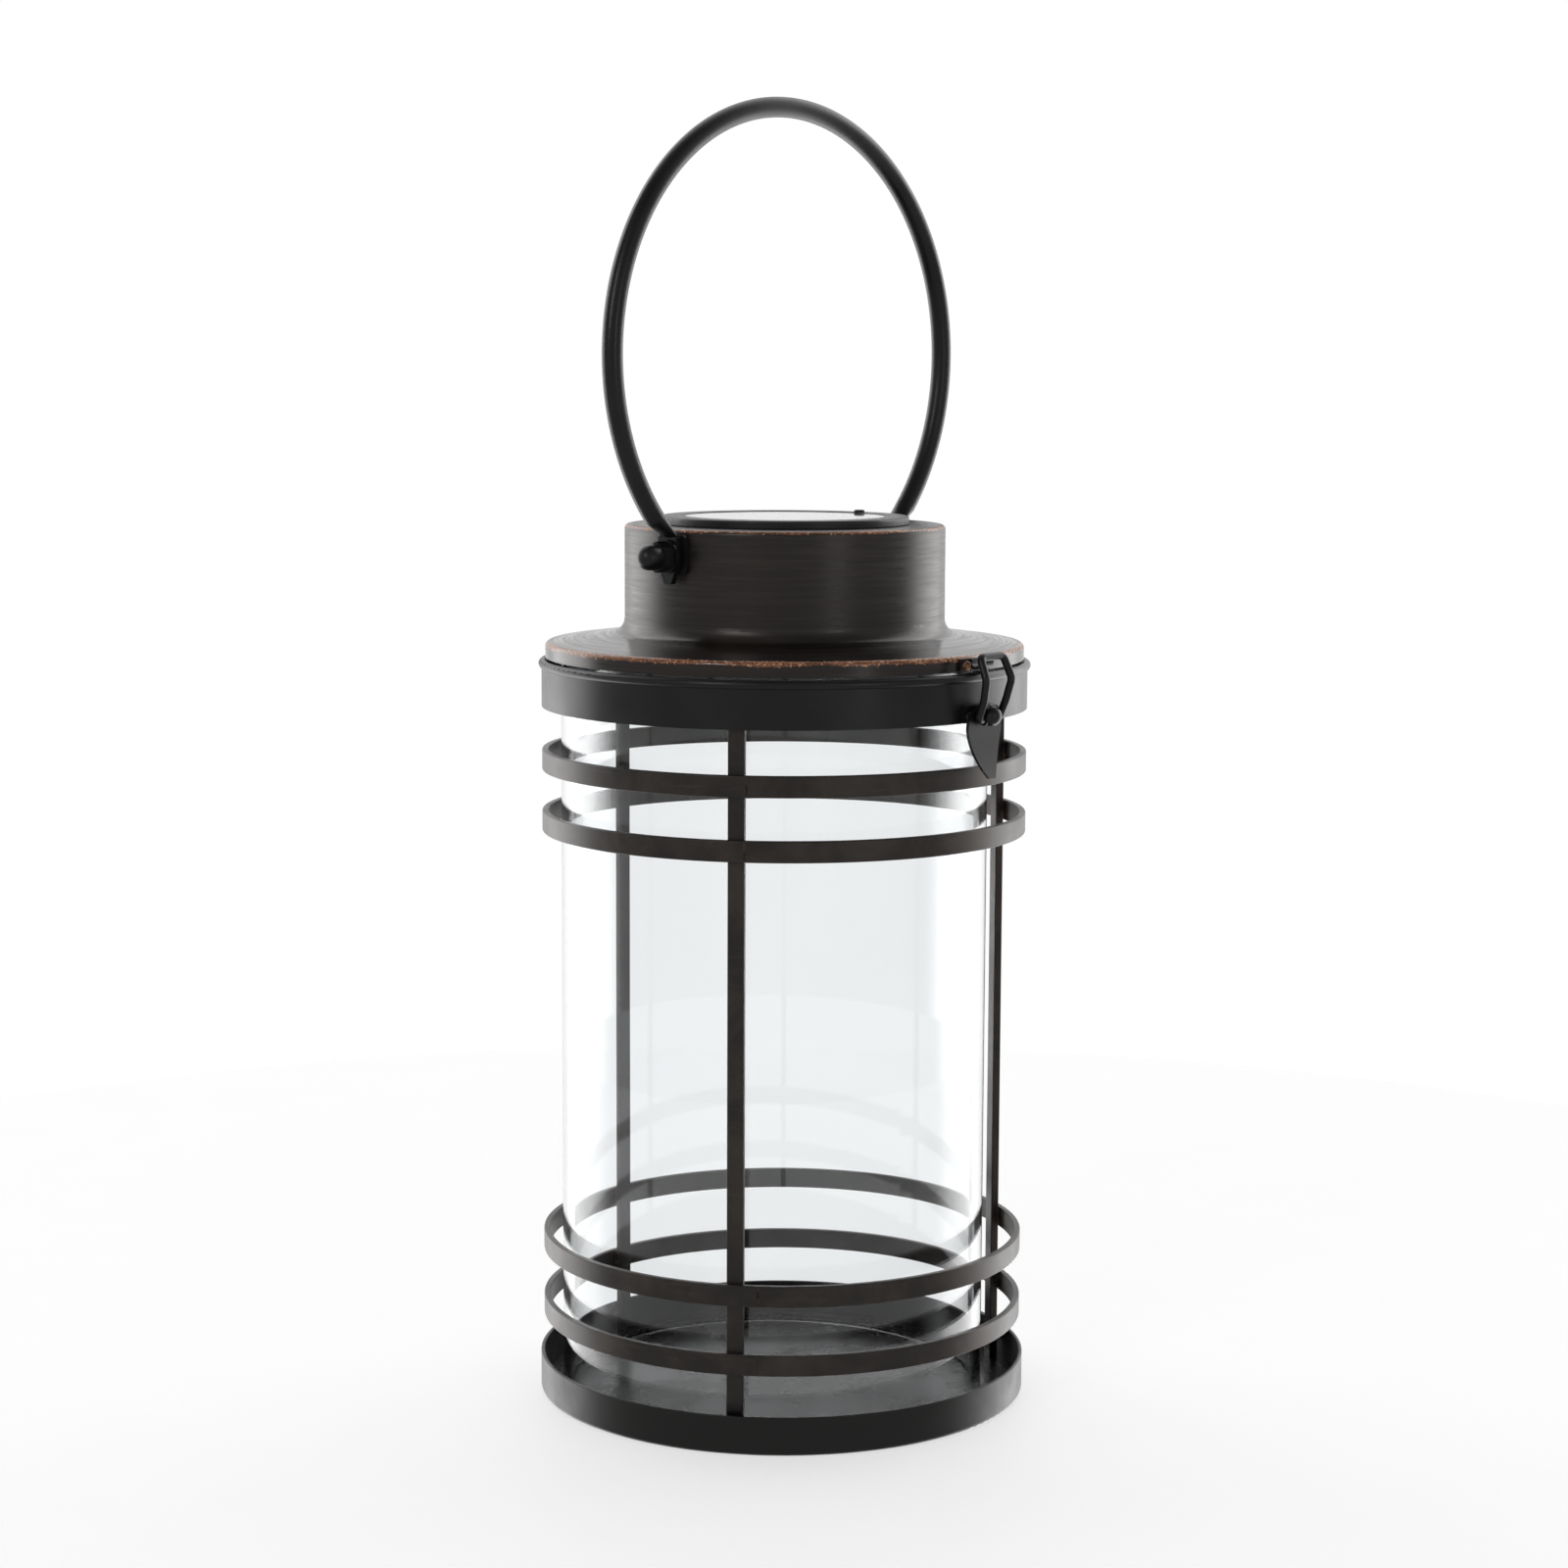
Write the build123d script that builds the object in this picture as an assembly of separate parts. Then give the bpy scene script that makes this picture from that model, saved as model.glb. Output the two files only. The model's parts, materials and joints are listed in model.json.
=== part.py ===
from build123d import *
import math
import os

# A solar lantern: a round steel cage around a glass cylinder, a hinged spun lid that carries
# a solar light module in its neck, a draw latch at the front and a bail handle.
# Millimetres. The origin is the centre of the base's underside, +Z is up, the latch faces
# -Y, the lid hinge is at +Y and the handle pivots on the +X and -X sides.

# Base pan
base_radius = 76.1
base_height = 12.0
base_wall = 1.2
base_floor = 1.2
base_corner = 1.5

# Cage of flat strap
strap_thickness = 2.0
strap_height = 6.4
ring_radius = 75.0
ring_tops = (202.7, 183.7, 51.4, 30.5)
upright_width = 5.0
upright_thickness = 2.5
upright_angles = {"upright_left": -150.0, "upright_right": -30.0, "upright_rear": 90.0}
upright_top = 219.4

# Collar band with its rolled bead, and the plate inside it that steadies the glass
collar_radius = 75.1
collar_bottom = 216.0
bead_radius = 1.4
bead_outer = 76.0
bead_top = 230.5
retainer_hole = 69.6
retainer_bottom = 219.5
retainer_thickness = 1.5

# Glass cylinder, which stands loose in the cage, a little off centre
glass_radius = 66.1
glass_wall = 2.2
glass_bottom = 1.25
glass_top = 228.6
glass_shift = (-1.97, 2.27)

# Lid, spun from sheet
lid_radius = 73.9
lid_sheet = 1.0
skirt_bottom = 231.1
shoulder_height = 235.7
neck_radius = 49.4
neck_foot = 238.9
neck_top = 272.0
module_hole = 36.9
shoulder_round = 1.4
neck_foot_round = 5.0
gasket_inner = 60.5
gasket_bottom = 230.95

# Lid hinge, at the back
hinge_y = 79.0
hinge_z = 230.6
hinge_half_width = 10.0
knuckle_radius = 2.2
knuckle_half = 3.5
knuckle_gap = 0.3
hinge_pin_radius = 1.0
running_gap = 0.06
leaf_sheet = 1.0

# Draw latch, at the front
latch_pivot = (-80.2, 220.4)
loop_pivot = (-79.85, 217.3)
ball_centre = (-80.8, 218.3)
ball_radius = 3.1
loop_wire = 1.2
loop_foot_half = 4.9
loop_shin = (5.3, -82.1, 222.8)
loop_knee = (6.1, -83.6, 229.2)
loop_bar = (5.5, -80.7, 235.8)
latch_pin_radius = 0.75
ear_radius = 1.3
ear_root_half = 0.95
ear_inner = 1.5
ear_outer = 2.2
tongue_half = 1.2
tongue_radius = 1.5
hub_radius = 1.75
hub_half = 2.6
leaf_inner_y = -77.45
leaf_half_width = 7.8
leaf_tip = 199.8
leaf_flare = 3.4
latch_base_bottom = 216.1
latch_base_top = 221.4
latch_base_half_width = 6.4
catch_half_width = 7.0
hook_half_width = 3.0
hook_centre = (-76.9, 234.0)
hook_inner = 1.3
hook_outer = 2.2
rivet_shank = 0.9
rivet_head = 1.5
clinch_radius = 1.4

# Rivet pairs: direction, spread each side of it, height
catch_rivet_row = (-90, 4.6, 233.0)
lid_hinge_rivet_row = (90, 6.6, 233.2)
collar_hinge_rivet_row = (90, 6.2, 223.2)
latch_rivet_row = (-90, 4.6, 217.9)

# Handle
bail_rod = 3.1
bail_half_width = 76.5
bail_half_height = 74.6
bail_centre = 323.4
bail_pivot = 264.0
bail_foot_top = 275.5
paddle_inner = 51.1
paddle_outer = 53.2
paddle_half_width = 3.7
paddle_tip_half = 1.3
paddle_shoulder = 261.4
paddle_bottom = 255.7
paddle_top = 269.6
lug_face = 50.8
lug_half_width = 5.3
lug_bottom = 258.8
lug_top = 270.3
bolt_radius = 2.5
washer_radius = 5.0
washer_inner = 53.4
washer_outer = 54.3
nut_flats = 8.0
nut_hex_end = 58.4
nut_dome = 3.8
nut_end = 64.8

# Solar light module in the neck
flange_radius = 38.2
flange_bottom = 272.3
flange_top = 272.9
cup_radius = 36.6
cup_wall = 1.0
cup_bottom = 246.0
window_radius = 30.9
cell_side = 42.0
bezel_top = 274.5
button_radius = 1.7
button_place = (32.8, -2.4)
button_top = 275.3
board_radius = 35.2
board_bottom = 266.0
board_thickness = 1.4
boss_circle = 33.2
boss_angles = (90.0, -30.0, -150.0)
boss_radius = 2.6
screw_radius = 1.0
base_plate_bottom = 244.4
base_plate_top = 245.95
battery_radius = 7.0
battery_length = 49.2
battery_centre = (2.5, 14.0, 254.6)
contact_offset = 28.2
door_half_length = 28.0
door_half_width = 7.4
led_radius = 2.5

FROM_BELOW = (Align.CENTER, Align.CENTER, Align.MIN)


def disc(radius, bottom, top, x=0.0, y=0.0):
    """A vertical cylinder between two heights."""
    return Pos(x, y, bottom) * Cylinder(radius, top - bottom, align=FROM_BELOW)


def ring(outer, inner, bottom, top, x=0.0, y=0.0):
    """A plain tube between two heights."""
    return disc(outer, bottom, top, x, y) - disc(inner, bottom - 1, top + 1, x, y)


def block(x_range, y_range, z_range):
    """A box from its three ranges."""
    low = (x_range[0], y_range[0], z_range[0])
    size = (x_range[1] - low[0], y_range[1] - low[1], z_range[1] - low[2])
    return Pos(*low) * Box(*size, align=(Align.MIN, Align.MIN, Align.MIN))


def spun(*points):
    """A solid of revolution about Z from an outline of (radius, height) points."""
    return revolve(Plane.XZ * make_face(Polyline(*points, close=True)), Axis.Z)


def sector(inner, outer, bottom, top, half_width, angle):
    """A piece of tube wall, half_width each side of the direction given by angle."""
    half_angle = math.degrees(math.asin(half_width / outer))
    section = Plane.XZ * Pos((inner + outer) / 2, (bottom + top) / 2) * Rectangle(outer - inner, top - bottom)
    return Rot(0, 0, angle - half_angle) * revolve(section, Axis.Z, 2 * half_angle)


def bar_x(radius, x_start, x_end, y, z):
    """A cylinder along X between two x positions."""
    middle = (x_start + x_end) / 2
    return Pos(middle, y, z) * Rot(0, 90, 0) * Cylinder(radius, abs(x_end - x_start))


def both_sides(shape):
    """The shape and its mirror image across the YZ plane."""
    return [shape, mirror(shape, Plane.YZ)]


def radial(shape, angle, along, height):
    """Turns a shape built along +X to a direction and a distance along the lid's rim from it."""
    return Rot(0, 0, angle + math.degrees(along / lid_radius)) * Pos(0, 0, height) * shape


def rivet(outer_face, inner_face):
    """A domed rivet along X, clinched through a wall between two radii."""
    head = Pos(outer_face, 0, 0) * Rot(0, 90, 0) * Cylinder(rivet_head, 1.0, align=FROM_BELOW)
    head = fillet(head.edges().group_by(Axis.X)[-1], 0.8)
    shank = bar_x(rivet_shank, inner_face - 0.3, outer_face + 0.3, 0, 0)
    tail = bar_x(clinch_radius, inner_face - 0.65, inner_face - 0.05, 0, 0)
    return head + shank + tail


def rivet_pair(outer_face, inner_face, angle, spread, height):
    """Two rivets side by side, with their cutters, a little wider than the shanks."""
    places = [(angle, side * spread, height) for side in (-1, 1)]
    rivets = [radial(rivet(outer_face, inner_face), *place) for place in places]
    cutter = bar_x(rivet_shank + 0.05, inner_face - 2, outer_face + 2, 0, 0)
    cutters = [radial(cutter, *place) for place in places]
    return rivets, cutters


# The rivets, each pair with the cutters for its holes
lid_walls = (lid_radius + 1.05, lid_radius - lid_sheet)
collar_walls = (collar_radius + 1.1, collar_radius - strap_thickness)
catch_rivets = rivet_pair(*lid_walls, *catch_rivet_row)
hinge_lid_rivets = rivet_pair(*lid_walls, *lid_hinge_rivet_row)
hinge_collar_rivets = rivet_pair(*collar_walls, *collar_hinge_rivet_row)
latch_rivets = rivet_pair(*collar_walls, *latch_rivet_row)


def base_pan():
    pan = disc(base_radius, 0, base_height)
    pan = fillet(pan.edges().group_by(Axis.Z)[0], base_corner)
    pan = pan - disc(base_radius - base_wall, base_floor, base_height + 1)
    return fillet(pan.edges().group_by(Axis.Z)[-1], 0.4)


def cage_ring(top):
    band = ring(ring_radius, ring_radius - strap_thickness, top - strap_height, top)
    return fillet(band.edges().filter_by(GeomType.CIRCLE), 0.4)


def upright(angle):
    outer = ring_radius - strap_thickness - 0.05
    bar = block(
        (outer - upright_thickness, outer),
        (-upright_width / 2, upright_width / 2),
        (base_floor + 0.05, upright_top),
    )
    bar = fillet(bar.edges().filter_by(Axis.Z), 0.4)
    return Rot(0, 0, angle) * bar


def collar():
    inner = collar_radius - strap_thickness
    band = ring(collar_radius, inner, collar_bottom, bead_top - bead_radius)
    bead_path = bead_outer - bead_radius
    bead = Pos(0, 0, bead_top - bead_radius) * Torus(bead_path, bead_radius)
    body = band + bead
    return body - hinge_collar_rivets[1] - latch_rivets[1]


def glass_retainer():
    outer = collar_radius - strap_thickness - 0.05
    return ring(outer, retainer_hole, retainer_bottom, retainer_bottom + retainer_thickness)


def glass_cylinder():
    tube = ring(glass_radius, glass_radius - glass_wall, glass_bottom, glass_top, *glass_shift)
    return fillet(tube.edges().filter_by(GeomType.CIRCLE), 0.6)


def lid_top_height(radius, depth=0.0):
    """Height of the lid's sloping top at a radius, or of a parallel line under it."""
    slope = (neck_foot - shoulder_height) / (lid_radius - neck_radius)
    return shoulder_height + slope * (lid_radius - radius) - depth * math.hypot(1, slope)


def lid_shell():
    inner_skirt = lid_radius - lid_sheet
    inner_neck = neck_radius - lid_sheet
    outline = [
        (lid_radius, skirt_bottom),
        (lid_radius, shoulder_height),
        (neck_radius, neck_foot),
        (neck_radius, neck_top),
        (module_hole, neck_top),
        (module_hole, neck_top - lid_sheet),
        (inner_neck, neck_top - lid_sheet),
        (inner_neck, lid_top_height(inner_neck, lid_sheet)),
        (inner_skirt, lid_top_height(inner_skirt, lid_sheet)),
        (inner_skirt, skirt_bottom),
    ]
    rounds = {
        1: shoulder_round,
        2: neck_foot_round,
        3: shoulder_round,
        6: shoulder_round - lid_sheet,
        7: neck_foot_round + lid_sheet,
        8: shoulder_round - lid_sheet,
    }
    section = make_face(Polyline(*outline, close=True))
    for index, radius in rounds.items():
        corner = section.vertices().sort_by_distance((*outline[index], 0))[0]
        section = fillet(corner, radius)
    shell = revolve(Plane.XZ * section, Axis.Z)
    bolt_way = bar_x(bolt_radius + 0.05, -neck_radius - 5, neck_radius + 5, 0, bail_pivot)
    return shell - bolt_way - catch_rivets[1] - hinge_lid_rivets[1]


def lid_gasket():
    outer = lid_radius - lid_sheet - 0.3
    return spun(
        (gasket_inner, gasket_bottom),
        (outer, gasket_bottom),
        (outer, lid_top_height(outer, lid_sheet + 0.05)),
        (gasket_inner, lid_top_height(gasket_inner, lid_sheet + 0.05)),
    ) - catch_rivets[1] - hinge_lid_rivets[1] - clinch_pockets()


def clinch_pockets():
    """Pockets in the gasket for the clinched ends of the lid's rivets."""
    pocket = bar_x(clinch_radius + 0.2, lid_radius - 3.5, lid_radius, 0, 0)
    pockets = []
    for angle, spread, height in (catch_rivet_row, lid_hinge_rivet_row):
        pockets += [radial(pocket, angle, side * spread, height) for side in (-1, 1)]
    return pockets


def knuckle(x_start, x_end):
    return bar_x(knuckle_radius, x_start, x_end, hinge_y, hinge_z)


def pin_way():
    return bar_x(hinge_pin_radius + running_gap, -20, 20, hinge_y, hinge_z)


def hinge_leaf_collar():
    face = collar_radius + 0.05
    step = bead_outer + 0.1
    leaf = sector(face, face + leaf_sheet, 217.4, 227.0, hinge_half_width, 90)
    leaf += sector(face, step + leaf_sheet, 225.6, 227.4, hinge_half_width, 90)
    for x_range in ((-hinge_half_width, -knuckle_half), (knuckle_half, hinge_half_width)):
        arm = block(x_range, (step, hinge_y), (226.2, hinge_z))
        leaf += arm + knuckle(*x_range)
    return leaf - pin_way() - hinge_collar_rivets[1]


def hinge_leaf_lid():
    face = lid_radius + 0.05
    reach = knuckle_half - knuckle_gap
    leaf = sector(face, face + leaf_sheet, 231.4, 235.2, hinge_half_width, 90)
    arm = block((-reach, reach), (face + 0.3, hinge_y), (hinge_z + 0.8, hinge_z + knuckle_radius))
    leaf += arm + knuckle(-reach, reach)
    return leaf - pin_way() - hinge_lid_rivets[1]


def hinge_pin():
    pin = bar_x(hinge_pin_radius, -hinge_half_width - 0.4, hinge_half_width + 0.4, hinge_y, hinge_z)
    for side in (-1, 1):
        start = side * (hinge_half_width + 0.2)
        pin += bar_x(hinge_pin_radius + 0.6, start, start + side * 0.8, hinge_y, hinge_z)
    return pin


def latch_base():
    face = collar_radius + 0.05
    pivot_y, pivot_z = latch_pivot
    plate_heights = (latch_base_bottom, latch_base_top)
    plate = sector(face, face + leaf_sheet, *plate_heights, latch_base_half_width, -90)
    root_heights = (pivot_z - ear_root_half, pivot_z + ear_root_half)
    for x_range in ((-ear_outer, -ear_inner), (ear_inner, ear_outer)):
        ear = block(x_range, (pivot_y, -face - 0.4), root_heights)
        plate += ear + bar_x(ear_radius, *x_range, pivot_y, pivot_z)
    pin_hole = bar_x(latch_pin_radius + 0.03, -5, 5, pivot_y, pivot_z)
    return plate - pin_hole - latch_rivets[1]


def latch_pin():
    pivot_y, pivot_z = latch_pivot
    pin = bar_x(latch_pin_radius, -ear_outer - 0.3, ear_outer + 0.3, pivot_y, pivot_z)
    for side in (-1, 1):
        start = side * (ear_outer + 0.05)
        pin += bar_x(latch_pin_radius + 0.4, start, start + side * 0.5, pivot_y, pivot_z)
    return pin


def leaf_outline():
    """The tapering leaf that a finger lifts, seen from the front."""
    shoulder = 3.0
    top = 220.6
    widest = 213.8
    tip_half = 1.5
    right_top = ThreePointArc((shoulder, top), (6.5, 218.3), (leaf_half_width, widest))
    right_side = ThreePointArc((leaf_half_width, widest), (5.5, 206.9), (tip_half, leaf_tip))
    tip = Line((tip_half, leaf_tip), (-tip_half, leaf_tip))
    left_side = ThreePointArc((-tip_half, leaf_tip), (-5.5, 206.9), (-leaf_half_width, widest))
    left_top = ThreePointArc((-leaf_half_width, widest), (-6.5, 218.3), (-shoulder, top))
    closing = Line((-shoulder, top), (shoulder, top))
    return make_face([right_top, right_side, tip, left_side, left_top, closing])


def leaf_profile():
    """The leaf's sheet from the side: flat at the top, curling outwards to its tip."""
    top = 222.0
    bend = 212.0
    inner = leaf_inner_y
    outer = leaf_inner_y - leaf_sheet
    middle_shift = leaf_flare * 0.27
    middle = (bend + leaf_tip) / 2
    low = leaf_tip - 0.5
    edges = [
        Line((inner, top), (inner, bend)),
        ThreePointArc((inner, bend), (inner - middle_shift, middle), (inner - leaf_flare, low)),
        Line((inner - leaf_flare, low), (outer - leaf_flare, low)),
        ThreePointArc((outer - leaf_flare, low), (outer - middle_shift, middle), (outer, bend)),
        Line((outer, bend), (outer, top)),
        Line((outer, top), (inner, top)),
    ]
    return make_face(edges)


def lever_leaf():
    slab = extrude(Plane.XZ.offset(70) * leaf_outline(), 20)
    sheet = extrude(Plane.YZ.offset(-10) * leaf_profile(), 20)
    return slab & sheet


def ear_room():
    """What the lever leaves free round one ear of the latch's base, and behind it."""
    pivot_y, pivot_z = latch_pivot
    half = ear_radius + 0.12
    x_range = (ear_inner - 0.15, hub_half + 1.0)
    behind = block(x_range, (pivot_y, leaf_inner_y + 1), (pivot_z - half, pivot_z + half))
    return behind + bar_x(half, *x_range, pivot_y, pivot_z)


def latch_lever():
    pivot_y, pivot_z = latch_pivot
    foot_y, foot_z = loop_pivot
    ball_y, ball_z = ball_centre
    # Turned so that the sphere's seam lies away from the holes drilled in it
    ball = Pos(0, ball_y, ball_z) * Rot(90, 0, 0) * Sphere(ball_radius)
    lever = lever_leaf() + ball
    lever += bar_x(tongue_radius, -tongue_half, tongue_half, pivot_y, pivot_z)
    lever += bar_x(hub_radius, -hub_half, hub_half, foot_y, foot_z)
    lever -= bar_x(latch_pin_radius + running_gap, -9, 9, pivot_y, pivot_z)
    lever -= both_sides(ear_room())
    for side in (-1, 1):
        lever -= bar_x(loop_wire + running_gap, side * tongue_half, side * 9, foot_y, foot_z)
    return lever


def latch_loop():
    """A bent wire whose ends sit in the lever's hub, bowed outwards to pass the bead."""
    half = [
        (tongue_half + 0.3, *loop_pivot),
        (loop_foot_half, *loop_pivot),
        loop_shin,
        loop_knee,
        loop_bar,
    ]
    points = half + [(-x, y, z) for x, y, z in reversed(half)]
    path = FilletPolyline(*points, radius=(1.5, 6, 3.5, 1.7, 1.7, 3.5, 6, 1.5))
    start = Plane(origin=path @ 0, z_dir=path % 0)
    return sweep(start * Circle(loop_wire), path=path)


def latch_catch():
    face = lid_radius + 0.05
    centre_y, centre_z = hook_centre
    plate = sector(face, face + leaf_sheet, 231.4, 235.0, catch_half_width, -90)
    curl = bar_x(hook_outer, -hook_half_width, hook_half_width, centre_y, centre_z)
    curl -= bar_x(hook_inner, -9, 9, centre_y, centre_z)
    keep = block((-9, 9), (-90, -face - 0.3), (centre_z - 9, centre_z))
    nose = block(
        (-hook_half_width, hook_half_width),
        (centre_y - hook_outer, centre_y - hook_inner),
        (centre_z - 0.1, centre_z + 0.7),
    )
    root = block(
        (-hook_half_width, hook_half_width),
        (centre_y + hook_inner, -face - 0.3),
        (centre_z - 0.6, centre_z + 0.9),
    )
    return plate + (curl & keep) + nose + root - catch_rivets[1]


def bail_point(angle):
    """A point of the handle's centre line, by its angle from the crown."""
    turn = math.radians(angle)
    return (bail_half_width * math.sin(turn), 0, bail_centre + bail_half_height * math.cos(turn))


def bail_foot():
    """One flattened end: a drilled paddle and the taper that leads into the round rod."""
    middle = (paddle_inner + paddle_outer) / 2
    half_outline = [
        (paddle_half_width, paddle_top + 0.2),
        (paddle_half_width, paddle_shoulder),
        (paddle_tip_half, paddle_bottom),
    ]
    outline = half_outline + [(-y, z) for y, z in reversed(half_outline)]
    section = make_face(Polyline(*outline, close=True))
    section = fillet(section.vertices().group_by(Axis.Y)[0], 1.0)
    paddle = extrude(Plane.YZ.offset(paddle_inner) * section, paddle_outer - paddle_inner)
    end_angle = math.degrees(math.acos((bail_foot_top - bail_centre) / bail_half_height))
    top_x, _, top_z = bail_point(end_angle)
    turn = math.radians(end_angle)
    along_x = -bail_half_width * math.cos(turn)
    along_z = bail_half_height * math.sin(turn)
    flat_section = Pos(middle, 0, paddle_top) * Ellipse(
        (paddle_outer - paddle_inner) / 2 - 0.02, paddle_half_width - 0.02
    )
    round_plane = Plane(
        origin=(top_x, 0, top_z), x_dir=(along_z, 0, -along_x), z_dir=(along_x, 0, along_z)
    )
    round_section = round_plane * Circle(bail_rod)
    taper = loft([flat_section.face(), round_section.face()])
    core_length = 2.4
    core = round_plane * Pos(0, 0, -core_length / 2) * Cylinder(
        bail_rod - 0.3, core_length, align=FROM_BELOW
    )
    hole = bar_x(bolt_radius + running_gap, paddle_inner - 5, paddle_outer + 5, 0, bail_pivot)
    return paddle + taper + core - hole


def bail():
    end_angle = math.degrees(math.acos((bail_foot_top - bail_centre) / bail_half_height))
    arc = EllipticalCenterArc(
        (0, bail_centre),
        bail_half_width,
        bail_half_height,
        start_angle=90 - end_angle,
        arc_size=2 * end_angle,
    )
    path = Plane.XZ * arc
    start = Plane(origin=path @ 0, z_dir=path % 0)
    rod = sweep(start * Circle(bail_rod), path=path)
    right, left = both_sides(bail_foot())
    return rod + right + left


def pivot_lug():
    pad = block(
        (neck_radius - 2, lug_face), (-lug_half_width, lug_half_width), (lug_bottom, lug_top)
    )
    pad = fillet(pad.edges().filter_by(Axis.X), 1.6)
    pad -= disc(neck_radius + 0.05, lug_bottom - 5, lug_top + 5)
    return pad - bar_x(bolt_radius + 0.05, 40, 60, 0, bail_pivot)


def pivot_bolt():
    head_face = neck_radius - lid_sheet - 0.3
    shank = bar_x(bolt_radius, head_face - 0.5, nut_hex_end + 1.0, 0, bail_pivot)
    head = bar_x(4.4, head_face - 2.6, head_face, 0, bail_pivot)
    head = fillet(head.edges().group_by(Axis.X)[0], 1.2)
    slot = block((head_face - 3.6, head_face - 1.4), (-0.6, 0.6), (bail_pivot - 6, bail_pivot + 6))
    return shank + head - slot


def pivot_washer():
    washer = bar_x(washer_radius, washer_inner, washer_outer, 0, bail_pivot)
    return washer - bar_x(bolt_radius + 0.1, 40, 70, 0, bail_pivot)


def cap_nut():
    hex_length = nut_hex_end - washer_outer - 0.1
    flats = RegularPolygon(nut_flats / 2, 6, major_radius=False)
    body = Pos(washer_outer + 0.1, 0, bail_pivot) * Rot(0, 90, 0) * extrude(flats, hex_length)
    tip_centre = nut_end - nut_dome
    body += bar_x(nut_dome, nut_hex_end - 0.5, tip_centre, 0, bail_pivot)
    body += Pos(tip_centre, 0, bail_pivot) * Sphere(nut_dome)
    return body - bar_x(bolt_radius + 0.05, 50, nut_hex_end + 1.6, 0, bail_pivot)


def boss_points():
    places = []
    for angle in boss_angles:
        turn = math.radians(angle)
        places.append((boss_circle * math.cos(turn), boss_circle * math.sin(turn)))
    return places


def solar_housing():
    housing = disc(flange_radius, flange_bottom, flange_top)
    housing += ring(cup_radius, cup_radius - cup_wall, cup_bottom, flange_bottom + 0.2)
    inside = disc(cup_radius - 0.1, cup_bottom, board_bottom - 0.05)
    for x, y in boss_points():
        housing += disc(boss_radius, cup_bottom, board_bottom - 0.05, x, y) & inside
        housing -= disc(screw_radius + 0.05, cup_bottom - 1, cup_bottom + 8, x, y)
    housing -= disc(1.2, flange_bottom - 1, flange_top + 1, *button_place)
    housing -= disc(3.4, flange_bottom - 1, flange_top + 1, -4.5, -16)
    return housing


def module_gasket():
    return ring(flange_radius - 0.2, module_hole + 0.1, neck_top + 0.02, flange_bottom - 0.02)


def retaining_ring():
    body = ring(41.5, cup_radius + 0.08, neck_top - lid_sheet - 2.6, neck_top - lid_sheet - 0.05)
    for index in range(6):
        notch = Rot(0, 0, 60 * index) * Pos(41.5, 0, neck_top - 3) * Box(2.4, 5.0, 8.0)
        body -= notch
    return body


def solar_bezel():
    frame = ring(flange_radius, window_radius + 0.1, flange_top + 0.03, bezel_top)
    outer_top = frame.edges().group_by(Axis.Z)[-1].sort_by(SortBy.RADIUS)[-1]
    frame = fillet(outer_top, 0.6)
    return frame - disc(button_radius + 0.3, flange_top - 1, bezel_top + 1, *button_place)


def panel_window():
    return disc(window_radius, flange_top + 0.7, bezel_top - 0.15)


def solar_cell():
    half = cell_side / 2
    return block((-half, half), (-half, half), (flange_top + 0.03, flange_top + 0.55))


def power_button():
    cap = disc(button_radius, flange_top + 0.9, button_top, *button_place)
    cap = fillet(cap.edges().group_by(Axis.Z)[-1], 0.5)
    return cap + disc(0.9, flange_bottom - 1.3, flange_top + 1.0, *button_place)


def circuit_board():
    return disc(board_radius, board_bottom, board_bottom + board_thickness)


def tact_switch():
    x, y = button_place
    top = board_bottom + board_thickness
    body = block((x - 2, x + 2), (y - 2, y + 2), (top + 0.02, top + 2.0))
    return body + disc(0.8, top + 1.8, top + 2.5, x, y)


def battery():
    centre_x, centre_y, centre_z = battery_centre
    half = battery_length / 2
    cell = bar_x(battery_radius, centre_x - half, centre_x + half, centre_y, centre_z)
    cell = fillet(cell.edges().filter_by(GeomType.CIRCLE), 0.6)
    return cell + bar_x(2.6, centre_x + half - 0.5, centre_x + half + 1.0, centre_y, centre_z)


def battery_contacts():
    _, y, _ = battery_centre
    plates = []
    for side in (-1, 1):
        near, far = sorted((side * contact_offset, side * (contact_offset + 0.4)))
        plates.append(block((near, far), (y - 4, y + 4), (248.5, board_bottom - 0.03)))
    return plates


def battery_spring():
    centre_x, centre_y, centre_z = battery_centre
    wire = 0.35
    start = -contact_offset + wire + 0.02
    end = centre_x - battery_length / 2 - wire - 0.02
    coil = Helix(pitch=(end - start) / 4, height=end - start, radius=3.2)
    section = Plane(origin=coil @ 0, z_dir=coil % 0) * Circle(wire)
    spring = sweep(section, path=coil, is_frenet=True)
    return Pos(start, centre_y, centre_z) * Rot(0, 90, 0) * spring


def led_leads():
    """Two stiff leads from the light up to the board."""
    leads = []
    for x in (-1.27, 1.27):
        leads.append(disc(0.3, 248.05, board_bottom - 0.02, x, 0))
    return leads


def panel_leads():
    leads = []
    for x in (-5.6, -3.4):
        leads.append(disc(0.5, board_bottom + board_thickness + 0.02, flange_top, x, -16))
    return leads


def door_outline(clearance, bottom, top):
    _, y, _ = battery_centre
    half_length = door_half_length - clearance
    half_width = door_half_width - clearance
    door = block((-half_length, half_length), (y - half_width, y + half_width), (bottom, top))
    return fillet(door.edges().filter_by(Axis.Z), 2.0)


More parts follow.
